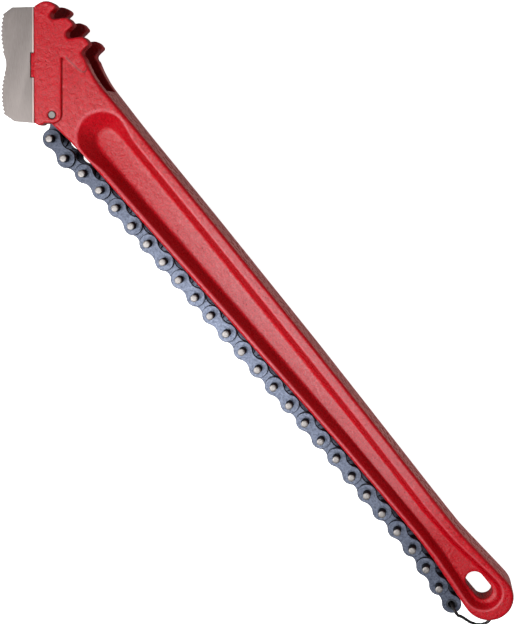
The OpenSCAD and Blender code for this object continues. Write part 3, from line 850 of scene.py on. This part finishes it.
innerShape = platePair(plate["innerZ"], plate["bushHole"], plate["bushHole"])
firstShape = platePair(plate["innerZ"], plate["anchorHole"], plate["bushHole"])
outerShape = platePair(plate["outerZ"], plate["pinHole"], plate["pinHole"])
pinShape = joined(pinSurface(0), pinSurface(chain["pitch"]))
for i in range(len(headings)):
    body, number = "link_%02d" % (i + 1), i // 2 + 1
    inner = i % 2 == 0
    points, faces, flat = (firstShape if i == 0 else innerShape) if inner else outerShape
    kind, node = ("innerPlates", "inner_link") if inner else ("outerPlates", "outer_link")
    addPiece("%s%02d" % (kind, number), atLink(points, i), faces, linkSteel, body,
             ["%s_%02d" % (node, number)], flat)
    if inner:
        bush = frame["nodes"]["bushes_%02d" % number]
        bush.data.materials.clear()
        bush.data.materials.append(sleeveSteel)
    else:
        points, faces, flat = pinShape
        addPiece("chainPins%02d" % number, atLink(points, i), faces, pinFinish, body,
                 ["pins_%02d" % number], flat)
print("chain made, links:", len(headings))

for node, finish in (("anchor_pin", anchorFinish), ("jaw_dowel", enamel)):
    frame["nodes"][node].data.materials.clear()
    frame["nodes"][node].data.materials.append(finish)


# pale floor and soft studio light
studio = {"floorSize": 6.0, "floorDrop": 0.0004, "wallR": 5.5, "wallTop": 5.0, "wallSides": 64, "world": 0.13}
floorMesh = bpy.data.meshes.new("paleFloor")
s = studio["floorSize"]
corners = [(-s, -s), (s, -s), (s, s), (-s, s)]
floorMesh.from_pydata([(x, y, -studio["floorDrop"]) for x, y in corners], [], [(0, 1, 2, 3)])
floorPiece = bpy.data.objects.new("paleFloor", floorMesh)
bpy.context.scene.collection.objects.link(floorPiece)
f = Finish("paleFloor")
pale = f.ramp(f.noise(3, 2), (0.3, linear(246, 246, 246)), (0.7, linear(252, 252, 252)))
paleFinish = f.wear(base_color=pale, roughness=0.9, emission_color=pale, emission_strength=1.0)
floorMesh.materials.append(paleFinish)
floorPiece.visible_diffuse = floorPiece.visible_glossy = False  # the floor shows, and throws no light back

# round pale wall far behind, x = r cos(a), y = r sin(a), so that low views show no dark sky
a = np.linspace(0, 2 * np.pi, studio["wallSides"], endpoint=False)
ring = np.stack([studio["wallR"] * np.cos(a), studio["wallR"] * np.sin(a), 0 * a - studio["floorDrop"]], 1)
k = np.arange(len(a))
after = (k + 1) % len(a)
wallMesh = bpy.data.meshes.new("paleWall")
wallMesh.from_pydata(np.vstack([ring, ring + (0, 0, studio["wallTop"])]).tolist(), [],
                     np.stack([k, k + len(a), after + len(a), after], 1).tolist())
wallMesh.materials.append(paleFinish)
wallPiece = bpy.data.objects.new("paleWall", wallMesh)
bpy.context.scene.collection.objects.link(wallPiece)
wallPiece.visible_diffuse = wallPiece.visible_glossy = wallPiece.visible_shadow = False

world = bpy.data.worlds.new("studio")
world.use_nodes = True
world.node_tree.nodes["Background"].inputs["Color"].default_value = (1, 1, 1, 1)
world.node_tree.nodes["Background"].inputs["Strength"].default_value = studio["world"]
bpy.context.scene.world = world


def softBox(name, place, aim, size, watts):
    # area light at place, its -Z turned to aim
    lamp = bpy.data.lights.new(name, "AREA")
    lamp.shape, lamp.size, lamp.size_y, lamp.energy = "RECTANGLE", size[0], size[1], watts
    box = bpy.data.objects.new(name, lamp)
    back = np.subtract(place, aim) / np.linalg.norm(np.subtract(place, aim))
    side = np.cross((0, 1, 0), back)
    side /= np.linalg.norm(side)
    rows = np.array([side, np.cross(back, side), back]).T
    box.matrix_world = Matrix.Translation(place) @ Matrix(rows.tolist()).to_4x4()
    bpy.context.scene.collection.objects.link(box)
    return box


softBox("keyBox", place=(0.05, -0.58, 0.8), aim=(0.2, 0, 0), size=(0.8, 0.35), watts=7.1)
softBox("overBox", place=(0.29, -0.17, 0.86), aim=(0.29, -0.16, 0), size=(0.98, 0.16), watts=2.75)
backBox = softBox("backBox", place=(0.5, 0.9, 0.02), aim=(0.25, 0, 0.02), size=(0.9, 0.03), watts=8)
backBox.visible_glossy = False  # it lights the back edge, and is not seen in the paint
bpy.context.scene.view_settings.view_transform = "Standard"  # plain colours, white stays white
bpy.context.scene.view_settings.look = "None"
print("studio lit")
